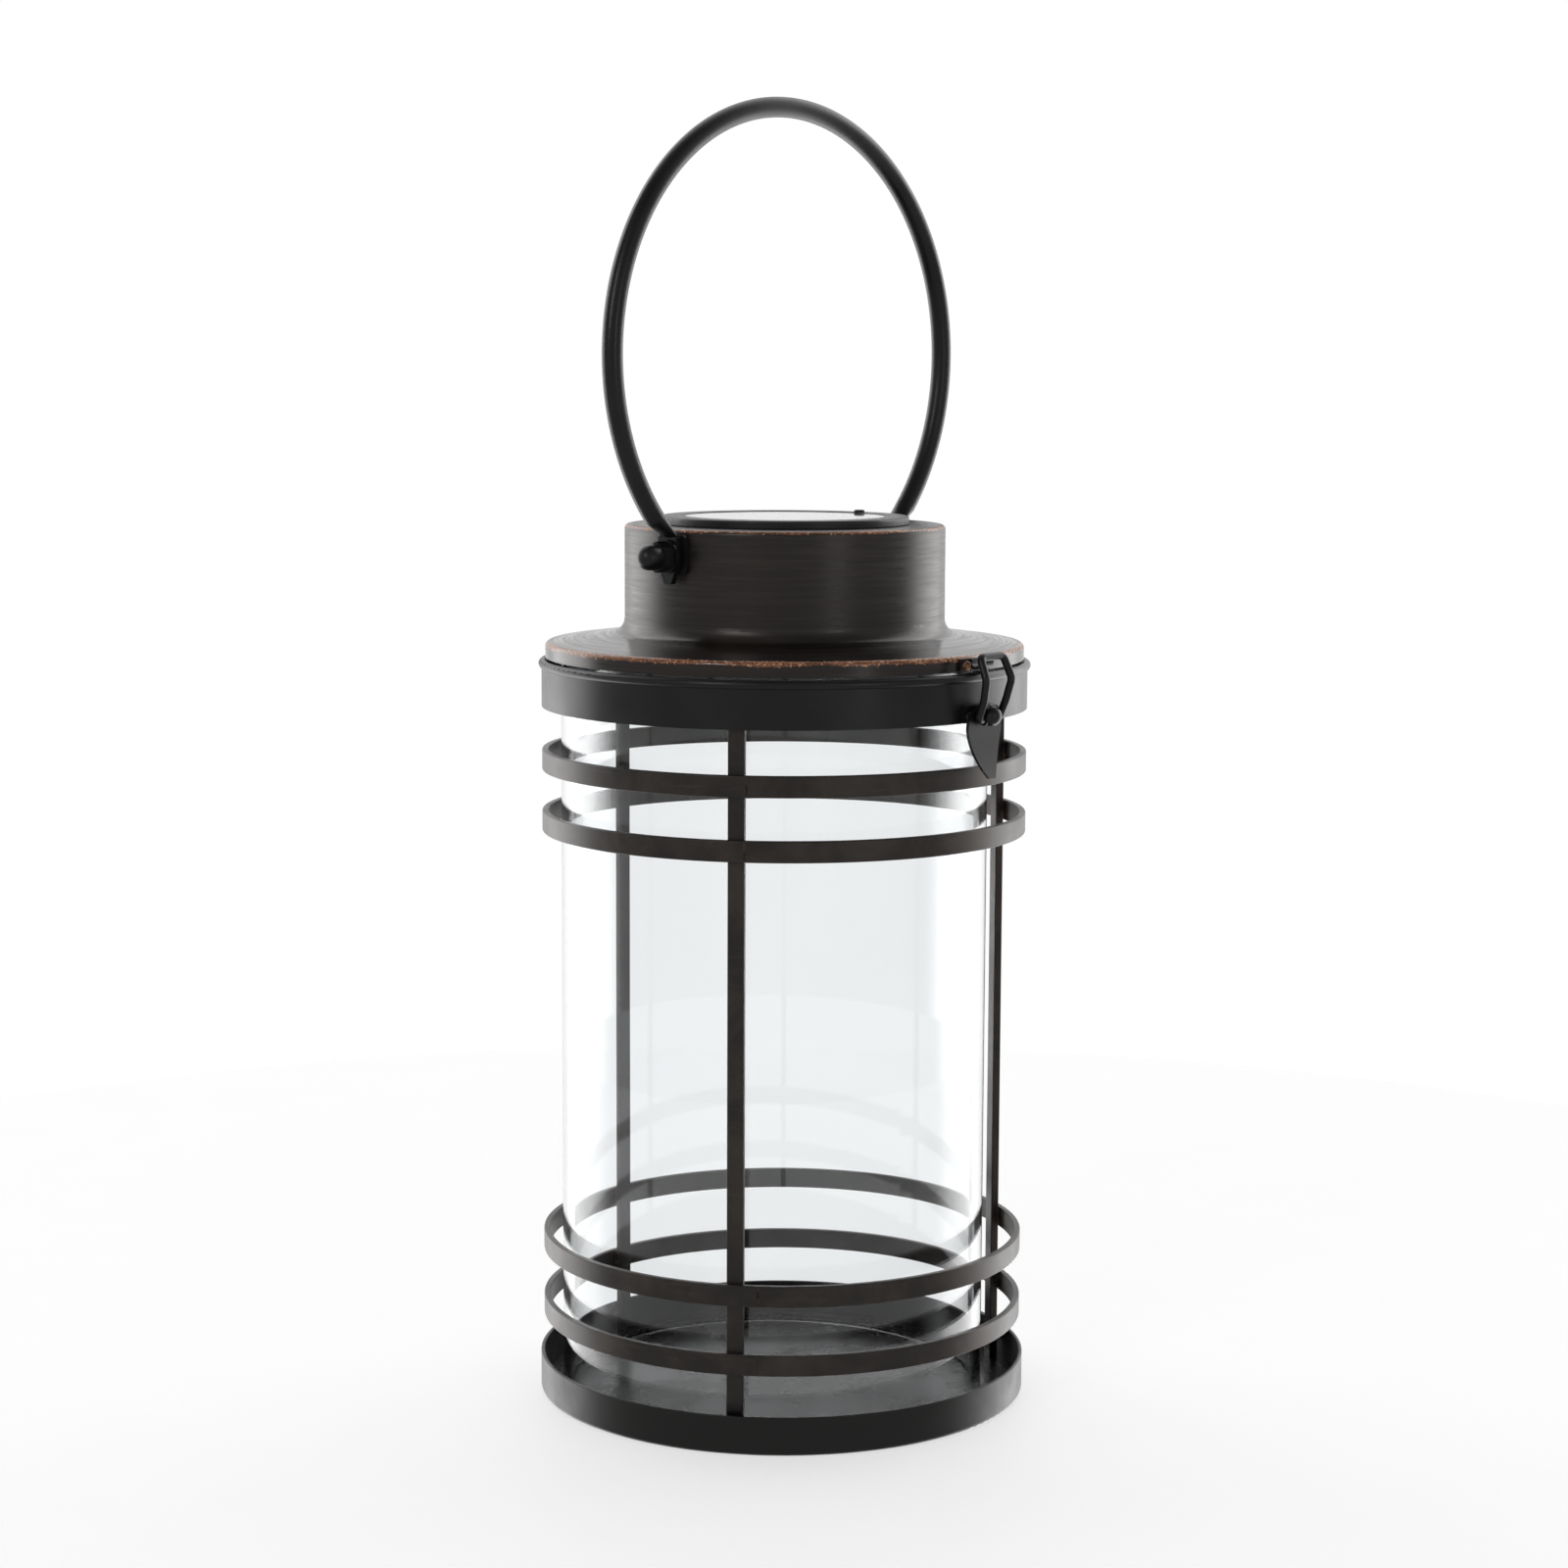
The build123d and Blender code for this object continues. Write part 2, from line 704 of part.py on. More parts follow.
def housing_base():
    plate = disc(cup_radius, base_plate_bottom, base_plate_top)
    plate = fillet(plate.edges().group_by(Axis.Z)[0], 0.8)
    plate -= door_outline(0.0, base_plate_bottom - 1, base_plate_top + 1)
    plate -= disc(led_radius + 0.2, base_plate_bottom - 1, base_plate_top + 1)
    for x, y in boss_points():
        plate -= disc(screw_radius + 0.1, base_plate_bottom - 1, base_plate_top + 1, x, y)
    return plate


def battery_cover():
    _, y, _ = battery_centre
    cover = door_outline(0.35, base_plate_bottom, base_plate_top)
    for index in range(4):
        x = -18 + 2.0 * index
        rib_range = (base_plate_bottom - 0.6, base_plate_bottom + 0.2)
        cover += block((x, x + 0.8), (y - 4, y + 4), rib_range)
    return cover


def housing_screws():
    screws = []
    for x, y in boss_points():
        head = disc(2.2, base_plate_bottom - 1.4, base_plate_bottom - 0.02, x, y)
        head = fillet(head.edges().group_by(Axis.Z)[0], 0.7)
        head -= Pos(x, y, base_plate_bottom - 1.4) * Box(3.4, 0.6, 1.0)
        head -= Pos(x, y, base_plate_bottom - 1.4) * Box(0.6, 3.4, 1.0)
        screws.append(head + disc(screw_radius, base_plate_bottom - 0.3, cup_bottom + 7, x, y))
    return screws


def led():
    lamp = disc(led_radius, 242.5, 248.0) + Pos(0, 0, 242.5) * Sphere(led_radius)
    return lamp + disc(led_radius + 0.5, base_plate_top + 0.05, base_plate_top + 1.05)


def led_reflector():
    top = base_plate_bottom - 0.02
    return spun((2.8, top), (5.9, top), (6.2, 238.4), (5.6, 238.4), (2.8, 243.6))


def write(name, shapes):
    """Writes one node, of one solid or of several identical ones."""
    pieces = shapes if isinstance(shapes, list) else [shapes]
    whole = pieces[0] if len(pieces) == 1 else Compound(children=[piece.solid() for piece in pieces])
    export_step(whole, f"parts/{name}.step")


def main():
    os.makedirs("parts", exist_ok=True)
    write("base_pan", base_pan())
    for number, top in enumerate(ring_tops, start=1):
        write(f"cage_ring_{number}", cage_ring(top))
    for name, angle in upright_angles.items():
        write(name, upright(angle))
    write("collar", collar())
    write("glass_retainer", glass_retainer())
    write("glass_cylinder", glass_cylinder())

    write("lid_shell", lid_shell())
    write("lid_gasket", lid_gasket())
    write("hinge_leaf_collar", hinge_leaf_collar())
    write("hinge_leaf_lid", hinge_leaf_lid())
    write("hinge_pin", hinge_pin())
    write("hinge_collar_rivets", hinge_collar_rivets[0])
    write("hinge_lid_rivets", hinge_lid_rivets[0])

    write("latch_base", latch_base())
    write("latch_rivets", latch_rivets[0])
    write("latch_pin", latch_pin())
    write("latch_lever", latch_lever())
    write("latch_loop", latch_loop())
    write("latch_catch", latch_catch())
    write("catch_rivets", catch_rivets[0])

    write("bail_handle", bail())
    write("pivot_lugs", both_sides(pivot_lug()))
    write("pivot_bolts", both_sides(pivot_bolt()))
    write("pivot_washers", both_sides(pivot_washer()))
    write("cap_nuts", both_sides(cap_nut()))

    write("solar_housing", solar_housing())
    write("module_gasket", module_gasket())
    write("retaining_ring", retaining_ring())
    write("solar_bezel", solar_bezel())
    write("panel_window", panel_window())
    write("solar_cell", solar_cell())
    write("power_button", power_button())
    write("circuit_board", circuit_board())
    write("tact_switch", tact_switch())
    write("battery", battery())
    write("battery_contacts", battery_contacts())
    write("battery_spring", battery_spring())
    write("led_leads", led_leads())
    write("panel_leads", panel_leads())
    write("housing_base", housing_base())
    write("battery_cover", battery_cover())
    write("housing_screws", housing_screws())
    write("led", led())
    write("led_reflector", led_reflector())


main()
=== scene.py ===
"""Looks of the solar lantern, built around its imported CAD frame. Metres, +Z up."""

import json
import math
import random

import bmesh
import bpy
from mathutils import Matrix, Vector, noise


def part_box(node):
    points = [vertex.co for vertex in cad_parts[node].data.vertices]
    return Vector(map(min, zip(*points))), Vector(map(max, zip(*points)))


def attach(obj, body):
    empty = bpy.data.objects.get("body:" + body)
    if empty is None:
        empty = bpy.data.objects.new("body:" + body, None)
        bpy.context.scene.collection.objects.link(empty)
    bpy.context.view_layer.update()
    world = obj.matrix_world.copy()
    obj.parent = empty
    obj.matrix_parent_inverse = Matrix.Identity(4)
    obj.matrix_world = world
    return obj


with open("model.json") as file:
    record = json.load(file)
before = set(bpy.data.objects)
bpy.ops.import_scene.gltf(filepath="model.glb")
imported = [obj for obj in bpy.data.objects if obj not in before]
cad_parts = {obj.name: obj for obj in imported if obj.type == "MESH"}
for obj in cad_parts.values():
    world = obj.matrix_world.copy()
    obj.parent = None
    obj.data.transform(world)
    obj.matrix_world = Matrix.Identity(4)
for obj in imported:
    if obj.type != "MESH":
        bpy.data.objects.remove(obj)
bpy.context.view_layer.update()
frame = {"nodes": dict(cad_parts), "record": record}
nodes = frame["nodes"]

MM = 0.001
UP = Vector((0, 0, 1))

# The viewing place: the camera stands this far round from the latch and looks slightly down
VIEW_AZIMUTH = math.radians(-49)
CAMERA_DISTANCE = 1.043
CAMERA_HEIGHT = 0.3223
CAMERA_PITCH = 0.1251
CAMERA_ROLL = 0.0043
CAMERA_LENS = 77.6
SENSOR = 36

# The studio's radiance by the angle round the lantern, from the camera's side to the backdrop
STUDIO_PEAK = 2.9
STUDIO_LIGHT = ((25, 0.34), (96, 0.34), (116, 2.9), (138, 2.9), (152, 1.05), (176, 0.99))

# Places taken from the frame, and the neck's radius and the shoulder's height given in millimetres
lid_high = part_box("lid_shell")[1]
collar_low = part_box("collar")[0]
base_low, base_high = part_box("base_pan")
lid_radius = lid_high.x
neck_top = lid_high.z
neck_radius = 49.4 * MM
shoulder_height = 235.3 * MM


# ---------------------------------------------------------------- node trees


class Paint:
    """One material: a Principled shader with short helpers to build what feeds it."""

    def __init__(self, name, **settings):
        self.material = bpy.data.materials.new(name)
        self.material.use_nodes = True
        self.tree = self.material.node_tree
        self.tree.nodes.clear()
        output = self.tree.nodes.new("ShaderNodeOutputMaterial")
        self.shader = self.tree.nodes.new("ShaderNodeBsdfPrincipled")
        self.tree.links.new(self.shader.outputs[0], output.inputs["Surface"])
        for key, value in settings.items():
            self.shader.inputs[key.replace("_", " ")].default_value = value

    def feed(self, socket, value):
        """Puts a constant or another node's output into a socket."""
        if isinstance(value, bpy.types.NodeSocket):
            self.tree.links.new(value, socket)
        else:
            socket.default_value = value

    def set(self, name, value):
        self.feed(self.shader.inputs[name], value)
        return self

    def math(self, operation, a, b=0.0, clamp=False):
        node = self.tree.nodes.new("ShaderNodeMath")
        node.operation = operation
        node.use_clamp = clamp
        self.feed(node.inputs[0], a)
        self.feed(node.inputs[1], b)
        return node.outputs[0]

    def place(self):
        """The point being shaded, in the frame's own coordinates."""
        return self.tree.nodes.new("ShaderNodeTexCoord").outputs["Object"]

    def split(self, vector):
        node = self.tree.nodes.new("ShaderNodeSeparateXYZ")
        self.feed(node.inputs[0], vector)
        return node.outputs[0], node.outputs[1], node.outputs[2]

    def join(self, x, y, z):
        node = self.tree.nodes.new("ShaderNodeCombineXYZ")
        for socket, value in zip(node.inputs, (x, y, z)):
            self.feed(socket, value)
        return node.outputs[0]

    def stretched(self, x_scale, y_scale, z_scale):
        """The place with each axis scaled on its own."""
        node = self.tree.nodes.new("ShaderNodeMapping")
        self.feed(node.inputs["Vector"], self.place())
        node.inputs["Scale"].default_value = (x_scale, y_scale, z_scale)
        return node.outputs[0]

    def around(self):
        """Distance from the lantern's axis, height, and the direction round it as x and y."""
        x, y, z = self.split(self.place())
        square = self.math("ADD", self.math("MULTIPLY", x, x), self.math("MULTIPLY", y, y))
        radius = self.math("SQRT", square)
        safe = self.math("MAXIMUM", radius, 0.001)
        return radius, z, self.math("DIVIDE", x, safe), self.math("DIVIDE", y, safe)

    def spun_lines(self, along, across):
        """Coordinates in which noise becomes lines running round the lantern's axis."""
        radius, height, east, north = self.around()
        third = self.math("MULTIPLY", self.math("ADD", radius, height), across)
        return self.join(
            self.math("MULTIPLY", east, along), self.math("MULTIPLY", north, along), third
        )

    def noise(self, vector, scale, detail=4.0, roughness=0.55, distortion=0.0):
        node = self.tree.nodes.new("ShaderNodeTexNoise")
        self.feed(node.inputs["Vector"], vector)
        node.inputs["Scale"].default_value = scale
        node.inputs["Detail"].default_value = detail
        node.inputs["Roughness"].default_value = roughness
        node.inputs["Distortion"].default_value = distortion
        return node.outputs[0]

    def step(self, value, low, high, out_low=0.0, out_high=1.0):
        """A smooth ramp from out_low to out_high as value goes from low to high."""
        node = self.tree.nodes.new("ShaderNodeMapRange")
        node.interpolation_type = "SMOOTHSTEP"
        for socket, item in zip(node.inputs, (value, low, high, out_low, out_high)):
            self.feed(socket, item)
        return node.outputs[0]

    def mix(self, factor, first, second):
        node = self.tree.nodes.new("ShaderNodeMix")
        node.data_type = "RGBA"
        self.feed(node.inputs[0], factor)
        self.feed(node.inputs[6], first)
        self.feed(node.inputs[7], second)
        return node.outputs[2]

    def bump(self, height, distance, strength=1.0):
        node = self.tree.nodes.new("ShaderNodeBump")
        node.inputs["Strength"].default_value = strength
        node.inputs["Distance"].default_value = distance
        self.feed(node.inputs["Height"], height)
        self.feed(self.shader.inputs["Normal"], node.outputs[0])
        return self


def colour(red, green, blue):
    return (red, green, blue, 1.0)


COPPER_DARK = colour(0.19, 0.075, 0.036)
COPPER = colour(0.30, 0.125, 0.06)
COPPER_PALE = colour(0.75, 0.40, 0.24)


def near_circle(paint, radius, height, width):
    """1 on a circle round the axis, falling to 0 at width away from it."""
    r, z, _, _ = paint.around()
    dr = paint.math("SUBTRACT", r, radius)
    dz = paint.math("SUBTRACT", z, height)
    square = paint.math("ADD", paint.math("MULTIPLY", dr, dr), paint.math("MULTIPLY", dz, dz))
    return paint.step(paint.math("SQRT", square), 0.0, width, 1.0, 0.0)


def spun_metal():
    """The lid: dark bronze with lines from spinning and brushing, worn to copper at its edges."""
    paint = Paint("spun_metal", Specular_IOR_Level=0.64, Specular_Tint=colour(1.0, 0.94, 0.91))
    fine = paint.noise(paint.spun_lines(3.5, 2600.0), 1.0, 4.0, 0.6)
    lines = paint.noise(paint.spun_lines(1.6, 800.0), 1.0, 5.0, 0.6)
    clouds = paint.noise(paint.place(), 24.0, 5.0, 0.6)
    dark, light = colour(0.0085, 0.0068, 0.0062), colour(0.02, 0.0155, 0.0135)
    tone = paint.mix(paint.step(lines, 0.4, 0.66), dark, light)
    tone = paint.mix(paint.step(clouds, 0.45, 0.75, 0.0, 0.6), tone, colour(0.024, 0.0145, 0.0105))

    speckle = paint.noise(paint.place(), 1150.0, 3.0, 0.7)
    patches = paint.noise(paint.place(), 75.0, 5.0, 0.65)
    shoulder = near_circle(paint, lid_radius - 0.45 * MM, shoulder_height, 2.3 * MM)
    neck_edge = near_circle(paint, neck_radius - 0.35 * MM, neck_top - 0.3 * MM, 1.5 * MM)
    edge = paint.math("MAXIMUM", shoulder, neck_edge)
    worn = paint.math("ADD", paint.math("MULTIPLY", edge, 0.8), patches)
    tone = paint.mix(paint.step(worn, 0.9, 1.2), tone, COPPER_DARK)
    dots = paint.math("ADD", speckle, paint.math("MULTIPLY", patches, 0.55))
    dots = paint.math("ADD", dots, paint.math("MULTIPLY", edge, 0.36))
    dots = paint.math("MULTIPLY", paint.step(dots, 1.05, 1.17), paint.step(edge, 0.05, 0.4))
    copper = paint.mix(paint.step(speckle, 0.5, 0.68), COPPER, COPPER_PALE)
    paint.set("Base Color", paint.mix(dots, tone, copper))
    both = paint.math("ADD", fine, lines)
    _, height, _, _ = paint.around()
    flange = paint.step(height, shoulder_height + 2.5 * MM, shoulder_height + 6.0 * MM, -0.13, 0.0)
    satin = paint.step(both, 0.75, 1.25, 0.27, 0.4)
    paint.set("Roughness", paint.math("ADD", satin, flange))
    return paint.bump(both, 0.00003, 0.3)


def black_metal(name="black_metal", worn=0.0):
    """Satin black lacquer on steel, a little bluish, with a faint orange-peel surface."""
    paint = Paint(
        name, Metallic=0.0, Specular_IOR_Level=0.36, Coat_Weight=0.15, Coat_Roughness=0.2
    )
    clouds = paint.noise(paint.place(), 35.0, 5.0, 0.6)
    fine = paint.noise(paint.place(), 1400.0, 3.0, 0.6)
    dark, light = colour(0.006, 0.006, 0.0068), colour(0.0105, 0.0102, 0.011)
    tone = paint.mix(paint.step(clouds, 0.35, 0.7), dark, light)
    if worn:
        rub = paint.noise(paint.place(), 420.0, 4.0, 0.7)
        tone = paint.mix(paint.step(rub, 0.62 - worn, 0.72 - worn), tone, COPPER)
    paint.set("Base Color", tone)
    paint.set("Roughness", paint.step(clouds, 0.3, 0.7, 0.3, 0.42))
    return paint.bump(fine, 0.00003, 0.35)


def aged_metal():
    """The cage: oil-rubbed brown-black strap with light brushing and dull scuffs."""
    paint = Paint("aged_metal", Metallic=0.35, Coat_Weight=0.15, Coat_Roughness=0.3)
    brush = paint.noise(paint.spun_lines(5.0, 700.0), 1.0, 5.0, 0.65)
    clouds = paint.noise(paint.place(), 45.0, 6.0, 0.65, 0.4)
    scuff = paint.noise(paint.place(), 260.0, 5.0, 0.7)
    dark, light = colour(0.024, 0.0195, 0.017), colour(0.055, 0.042, 0.033)
    tone = paint.mix(paint.step(clouds, 0.35, 0.72), dark, light)
    tone = paint.mix(paint.step(brush, 0.55, 0.75, 0.0, 0.55), tone, colour(0.06, 0.05, 0.042))
    tone = paint.mix(paint.step(scuff, 0.66, 0.78, 0.0, 0.5), tone, colour(0.12, 0.06, 0.034))
    radius, height, _, _ = paint.around()
    tone = paint.mix(paint.step(height, 14 * MM, 16 * MM), colour(0.011, 0.0095, 0.0088), tone)
    paint.set("Base Color", tone)
    low_down = paint.math("LESS_THAN", height, 4 * MM)
    inside_rim = paint.math("LESS_THAN", radius, 72 * MM)
    pan_floor = paint.math("MULTIPLY", low_down, inside_rim)
    satin = paint.step(clouds, 0.3, 0.75, 0.34, 0.5)
    paint.set("Roughness", paint.math("SUBTRACT", satin, paint.math("MULTIPLY", pan_floor, 0.15)))
    elsewhere = paint.math("SUBTRACT", 1.0, pan_floor)
    marks = paint.math("MULTIPLY", paint.math("ADD", brush, scuff), elsewhere)
    return paint.bump(marks, 0.00005, 0.35)


def weld_metal():
    """Scorched weld metal with a brown and straw tint."""
    paint = Paint("weld_metal", Metallic=0.6)
    clouds = paint.noise(paint.place(), 300.0, 5.0, 0.7)
    dark, straw = colour(0.02, 0.017, 0.016), colour(0.11, 0.07, 0.04)
    tone = paint.mix(paint.step(clouds, 0.4, 0.65), dark, straw)
    paint.set("Base Color", tone)
    paint.set("Roughness", paint.step(clouds, 0.3, 0.7, 0.35, 0.6))
    return paint.bump(clouds, 0.0002, 0.5)


def clear_glass():
    paint = Paint("clear_glass", IOR=1.47, Transmission_Weight=1.0)
    smudge = paint.noise(paint.stretched(1.0, 1.0, 0.5), 38.0, 4.0, 0.6)
    draw = paint.noise(paint.stretched(1.0, 1.0, 0.12), 60.0, 2.0, 0.5)
    clean, smudged = colour(0.965, 0.975, 0.98), colour(0.95, 0.965, 0.972)
    paint.set("Base Color", paint.mix(smudge, clean, smudged))
    paint.set("Roughness", paint.step(smudge, 0.55, 0.8, 0.0, 0.02))
    return paint.bump(draw, 0.00004, 0.25)


def clear_window():
    paint = Paint("clear_window", IOR=1.49, Transmission_Weight=1.0)
    dust = paint.noise(paint.place(), 500.0, 4.0, 0.7)
    paint.set("Base Color", paint.mix(dust, colour(0.93, 0.95, 0.97), colour(0.88, 0.9, 0.92)))
    paint.set("Roughness", paint.step(dust, 0.4, 0.8, 0.04, 0.14))
    return paint


def moulded(name, dark, light, roughness, grain=900.0, depth=0.00006):
    """Moulded plastic or rubber with a fine grain and slight changes of tone."""
    paint = Paint(name)
    clouds = paint.noise(paint.place(), 50.0, 4.0, 0.6)
    fine = paint.noise(paint.place(), grain, 3.0, 0.6)
    paint.set("Base Color", paint.mix(clouds, colour(*dark), colour(*light)))
    paint.set("Roughness", paint.step(fine, 0.3, 0.7, roughness - 0.06, roughness + 0.08))
    return paint.bump(fine, depth, 0.5)


def stripe(paint, value, pitch, width):
    """1 on thin lines a pitch apart, 0 between them."""
    phase = paint.math("FRACT", paint.math("ADD", paint.math("DIVIDE", value, pitch), 100.5))
    off = paint.math("ABSOLUTE", paint.math("SUBTRACT", phase, 0.5))
    return paint.math("LESS_THAN", off, width / pitch / 2)


def solar_silicon():
    """Dark blue silicon with thin silver fingers and wider bars."""
    paint = Paint("solar_silicon", Coat_Weight=0.6, Coat_Roughness=0.08)
    x, y, _ = paint.split(paint.place())
    crystal = paint.noise(paint.stretched(1.0, 1.0, 0.1), 90.0, 3.0, 0.5, 1.2)
    dark, blue = colour(0.008, 0.012, 0.035), colour(0.018, 0.03, 0.085)
    tone = paint.mix(paint.step(crystal, 0.3, 0.7), dark, blue)
    fingers = stripe(paint, x, 2.1 * MM, 0.16 * MM)
    bars = stripe(paint, y, 14.0 * MM, 1.1 * MM)
    splits = stripe(paint, x, 10.5 * MM, 0.5 * MM)
    silver = paint.math("MAXIMUM", fingers, bars)
    tone = paint.mix(silver, tone, colour(0.5, 0.52, 0.55))
    tone = paint.mix(splits, tone, colour(0.01, 0.01, 0.012))
    paint.set("Base Color", tone)
    paint.set("Metallic", paint.math("MULTIPLY", silver, 0.7))
    paint.set("Roughness", paint.step(crystal, 0.3, 0.7, 0.22, 0.34))
    return paint.bump(silver, 0.00008, 0.4)


def board_green():
    paint = Paint("board_green", Coat_Weight=0.3)
    x, y, _ = paint.split(paint.place())
    clouds = paint.noise(paint.place(), 120.0, 3.0, 0.5)
    down = stripe(paint, x, 5.0 * MM, 0.5 * MM)
    across = stripe(paint, y, 7.0 * MM, 0.4 * MM)
    traces = paint.math("MAXIMUM", down, across)
    tone = paint.mix(clouds, colour(0.01, 0.09, 0.035), colour(0.02, 0.14, 0.05))
    share = paint.math("MULTIPLY", traces, 0.5)
    paint.set("Base Color", paint.mix(share, tone, colour(0.1, 0.3, 0.12)))
    paint.set("Roughness", paint.step(clouds, 0.3, 0.7, 0.3, 0.45))
    return paint.bump(traces, 0.00005, 0.4)


def battery_wrap():
    """A plain wrap in two tones, with no lettering."""
    paint = Paint("battery_wrap", Coat_Weight=0.5)
    x, _, _ = paint.split(paint.place())
    wrinkle = paint.noise(paint.stretched(0.2, 1.0, 1.0), 400.0, 3.0, 0.6)
    band = paint.math("GREATER_THAN", x, 14.0 * MM)
    tone = paint.mix(band, colour(0.05, 0.22, 0.08), colour(0.55, 0.56, 0.55))
    share = paint.math("MULTIPLY", wrinkle, 0.2)
    paint.set("Base Color", paint.mix(share, tone, colour(0.02, 0.1, 0.04)))
    paint.set("Roughness", paint.step(wrinkle, 0.3, 0.7, 0.25, 0.4))
    return paint.bump(wrinkle, 0.00004, 0.3)


def plated_steel():
    paint = Paint("plated_steel", Metallic=1.0)
    brush = paint.noise(paint.stretched(0.15, 1.0, 1.0), 900.0, 4.0, 0.6)
    paint.set("Base Color", paint.mix(brush, colour(0.5, 0.5, 0.5), colour(0.72, 0.71, 0.69)))
    paint.set("Roughness", paint.step(brush, 0.3, 0.7, 0.22, 0.4))
    return paint.bump(brush, 0.00003, 0.4)


def reflector_chrome():
    paint = Paint("reflector_chrome", Metallic=1.0)
    haze = paint.noise(paint.spun_lines(3.0, 1200.0), 1.0, 3.0, 0.6)
    paint.set("Base Color", paint.mix(haze, colour(0.8, 0.8, 0.8), colour(0.9, 0.9, 0.89)))
    paint.set("Roughness", paint.step(haze, 0.3, 0.7, 0.08, 0.18))
    return paint


def led_lens():
    paint = Paint("led_lens", IOR=1.5, Transmission_Weight=0.8)
    glow = paint.noise(paint.place(), 300.0, 2.0, 0.5)
    paint.set("Base Color", paint.mix(glow, colour(0.9, 0.78, 0.4), colour(0.95, 0.86, 0.55)))
    paint.set("Roughness", paint.step(glow, 0.3, 0.7, 0.05, 0.15))
    return paint


def build_paints():
    """One finished material for each slot of the record."""
    return {
        "aged_metal": aged_metal(),
        "black_metal": black_metal(),
        "spun_metal": spun_metal(),
        "worn_rivet": black_metal("worn_rivet", 0.2),
        "clear_glass": clear_glass(),
        "clear_window": clear_window(),
        "black_rubber": moulded("black_rubber", (0.012, 0.012, 0.012), (0.02, 0.02, 0.02), 0.75),
        "black_plastic": moulded("black_plastic", (0.011, 0.011, 0.012), (0.02, 0.02, 0.021), 0.4),
        "button_rubber": moulded("button_rubber", (0.008, 0.008, 0.008), (0.014, 0.014, 0.014), 0.55),
        "solar_silicon": solar_silicon(),
        "board_green": board_green(),
        "battery_wrap": battery_wrap(),
        "plated_steel": plated_steel(),
        "lead_red": moulded("lead_red", (0.35, 0.02, 0.015), (0.45, 0.04, 0.03), 0.35),
        "led_lens": led_lens(),
        "reflector_chrome": reflector_chrome(),
    }


def dress_frame(paints):
    """Gives every CAD node the finished material of its slot."""
    for part in frame["record"]["subparts"]:
        node = nodes[part["node"]]
        finish = paints[part["material_slot"]].material
        for slot in node.material_slots:
            slot.material = finish


# ---------------------------------------------------------------- added pieces


def mesh_object(name, mesh_data, material, body):
    """Turns finished bmesh data into a piece that rides on a body."""
    mesh = bpy.data.meshes.new(name)
    mesh_data.to_mesh(mesh)
    mesh_data.free()
    mesh.shade_smooth()
    mesh.set_sharp_from_angle(angle=math.radians(40))
    mesh.materials.append(material)
    piece = bpy.data.objects.new(name, mesh)
    bpy.context.scene.collection.objects.link(piece)
    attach(piece, body)
    return piece


def lumpy_bead(mesh_data, start, end, radius, seed, out):
    """A run of weld along a line: a tube with ripples and uneven width, closed at both ends."""
    turns = 12
    steps = 14
    axis = (end - start).normalized()
    side = axis.cross(out).normalized()
    rings = []
    for index in range(1, steps):
        share = index / steps
        centre = start.lerp(end, share)
        swell = math.sqrt(max(0.0, 1 - (2 * share - 1) ** 4))
        ripple = 1 + 0.12 * math.sin(share * 9 * math.pi + seed)
        ring = []
        for turn in range(turns):
            angle = 2 * math.pi * turn / turns
            direction = side * math.cos(angle) + out * math.sin(angle)
            place = (centre + direction * radius) * 900 + Vector((seed, 0, 0))
            wobble = 1 + 0.22 * noise.noise(place)
            offset = direction * radius * swell * ripple * wobble
            ring.append(mesh_data.verts.new(centre + offset))
        rings.append(ring)
    for first, second in zip(rings, rings[1:]):
        for turn in range(turns):
            following = (turn + 1) % turns
            mesh_data.faces.new((first[turn], first[following], second[following], second[turn]))
    for ring, cap, flip in ((rings[0], start, True), (rings[-1], end, False)):
        tip = mesh_data.verts.new(cap)
        for turn in range(turns):
            corner = (ring[turn], ring[(turn + 1) % turns], tip)
            mesh_data.faces.new(corner[::-1] if flip else corner)


def weld_beads(paints):
    """Small welds down both sides of each upright, at each ring, the base's rim and the collar."""
    random.seed(7)
    data = bmesh.new()
    upright_half = 2.5 * MM
    runs = []
    for number in range(1, 5):
        low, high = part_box(f"cage_ring_{number}")
        runs.append((low.z, high.z, high.x - 2.0 * MM))
    runs.append((base_high.z - 5.0 * MM, base_high.z, base_high.x - 1.5 * MM))
    runs.append((collar_low.z - 0.6 * MM, collar_low.z + 2.0 * MM, 73.0 * MM))
    for low_z, high_z, inner in runs:
        for degrees in (-150, -30, 90):
            angle = math.radians(degrees)
            out = Vector((math.cos(angle), math.sin(angle), 0))
            round_it = UP.cross(out)
            for side in (-1, 1):
                seed = random.uniform(0, 9)
                drift = random.uniform(0.2, 0.9) * MM
                foot = out * (inner - 0.25 * MM) + round_it * side * (upright_half + 0.15 * MM)
                start = foot + UP * (low_z + drift)
                end = foot + UP * (high_z - drift * 0.7)
                lumpy_bead(data, start, end, random.uniform(0.75, 1.05) * MM, seed, out)
    return mesh_object("weld_beads", data, paints["weld_metal"].material, "body")


def ring_seams(paints):
    """The ground-down butt weld of each ring, a shallow bead across the strap."""
    data = bmesh.new()
    for number, degrees in ((1, -147.3), (2, -147.8), (3, -144.4), (4, -144.8)):
        low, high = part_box(f"cage_ring_{number}")
        angle = math.radians(degrees)
        out = Vector((math.cos(angle), math.sin(angle), 0))
        centre = out * (high.x - 0.35 * MM)
        start = centre + UP * (low.z + 0.1 * MM)
        end = centre + UP * (high.z - 0.1 * MM)
        lumpy_bead(data, start, end, 0.5 * MM, number * 1.7, out)
    return mesh_object("ring_seams", data, paints["weld_metal"].material, "body")


